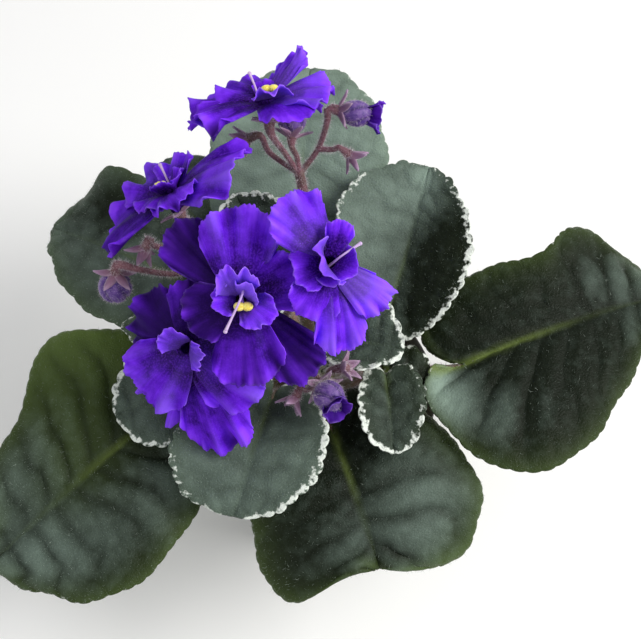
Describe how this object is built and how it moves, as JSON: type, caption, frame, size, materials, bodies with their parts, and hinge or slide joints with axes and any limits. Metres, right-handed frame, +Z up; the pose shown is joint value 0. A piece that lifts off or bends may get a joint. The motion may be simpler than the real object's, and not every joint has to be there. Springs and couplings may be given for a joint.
{
  "type": "potted african violet",
  "caption": "Flowering house plant: a rosette of thick hairy leaves with ruffled violet blooms over it, in a plain round pot with soil.",
  "frame": {"origin": "centre of the pot's flat underside, which rests on the surface", "axes": "+Z is up along the pot's axis, +X is along the leaves' widest spread, to the right in the picture, and -Y points to the side that the picture was taken from"},
  "size_m": [0.2168, 0.1782, 0.173],
  "materials": {
    "pot": "satin",
    "soil": "matte",
    "crown": "matte",
    "leaf": "matte",
    "stalk": "matte",
    "petal": "matte",
    "anther": "matte",
    "style": "matte",
    "bud": "matte"
  },
  "bodies": {
    "root": {"pot": "pot", "soil": "soil", "crown": "crown", "leaf_left_front": "leaf", "leaf_front": "leaf", "leaf_right": "leaf", "leaf_right_back": "leaf", "leaf_back": "leaf", "leaf_left_back": "leaf", "leaf_back_left_low": "leaf", "leaf_inner_back": "leaf", "leaf_inner_front": "leaf", "leaf_inner_left": "leaf", "leaf_left": "leaf", "leaf_inner_right": "leaf", "leaf_small_front_right": "leaf", "leaf_small_right": "leaf", "stalk_back": "stalk", "stalk_left": "stalk", "stalk_front": "stalk", "stalk_low": "stalk", "corolla_back": "petal", "corolla_left": "petal", "corolla_centre": "petal", "corolla_right": "petal", "corolla_front": "petal", "anthers_back": "anther", "anthers_left": "anther", "anthers_centre": "anther", "style_back": "style", "style_left": "style", "style_centre": "style", "style_right": "style", "bud_back_right": "bud", "bud_back_middle": "bud", "bud_left": "bud", "bud_front": "bud"}
  },
  "joints": []
}
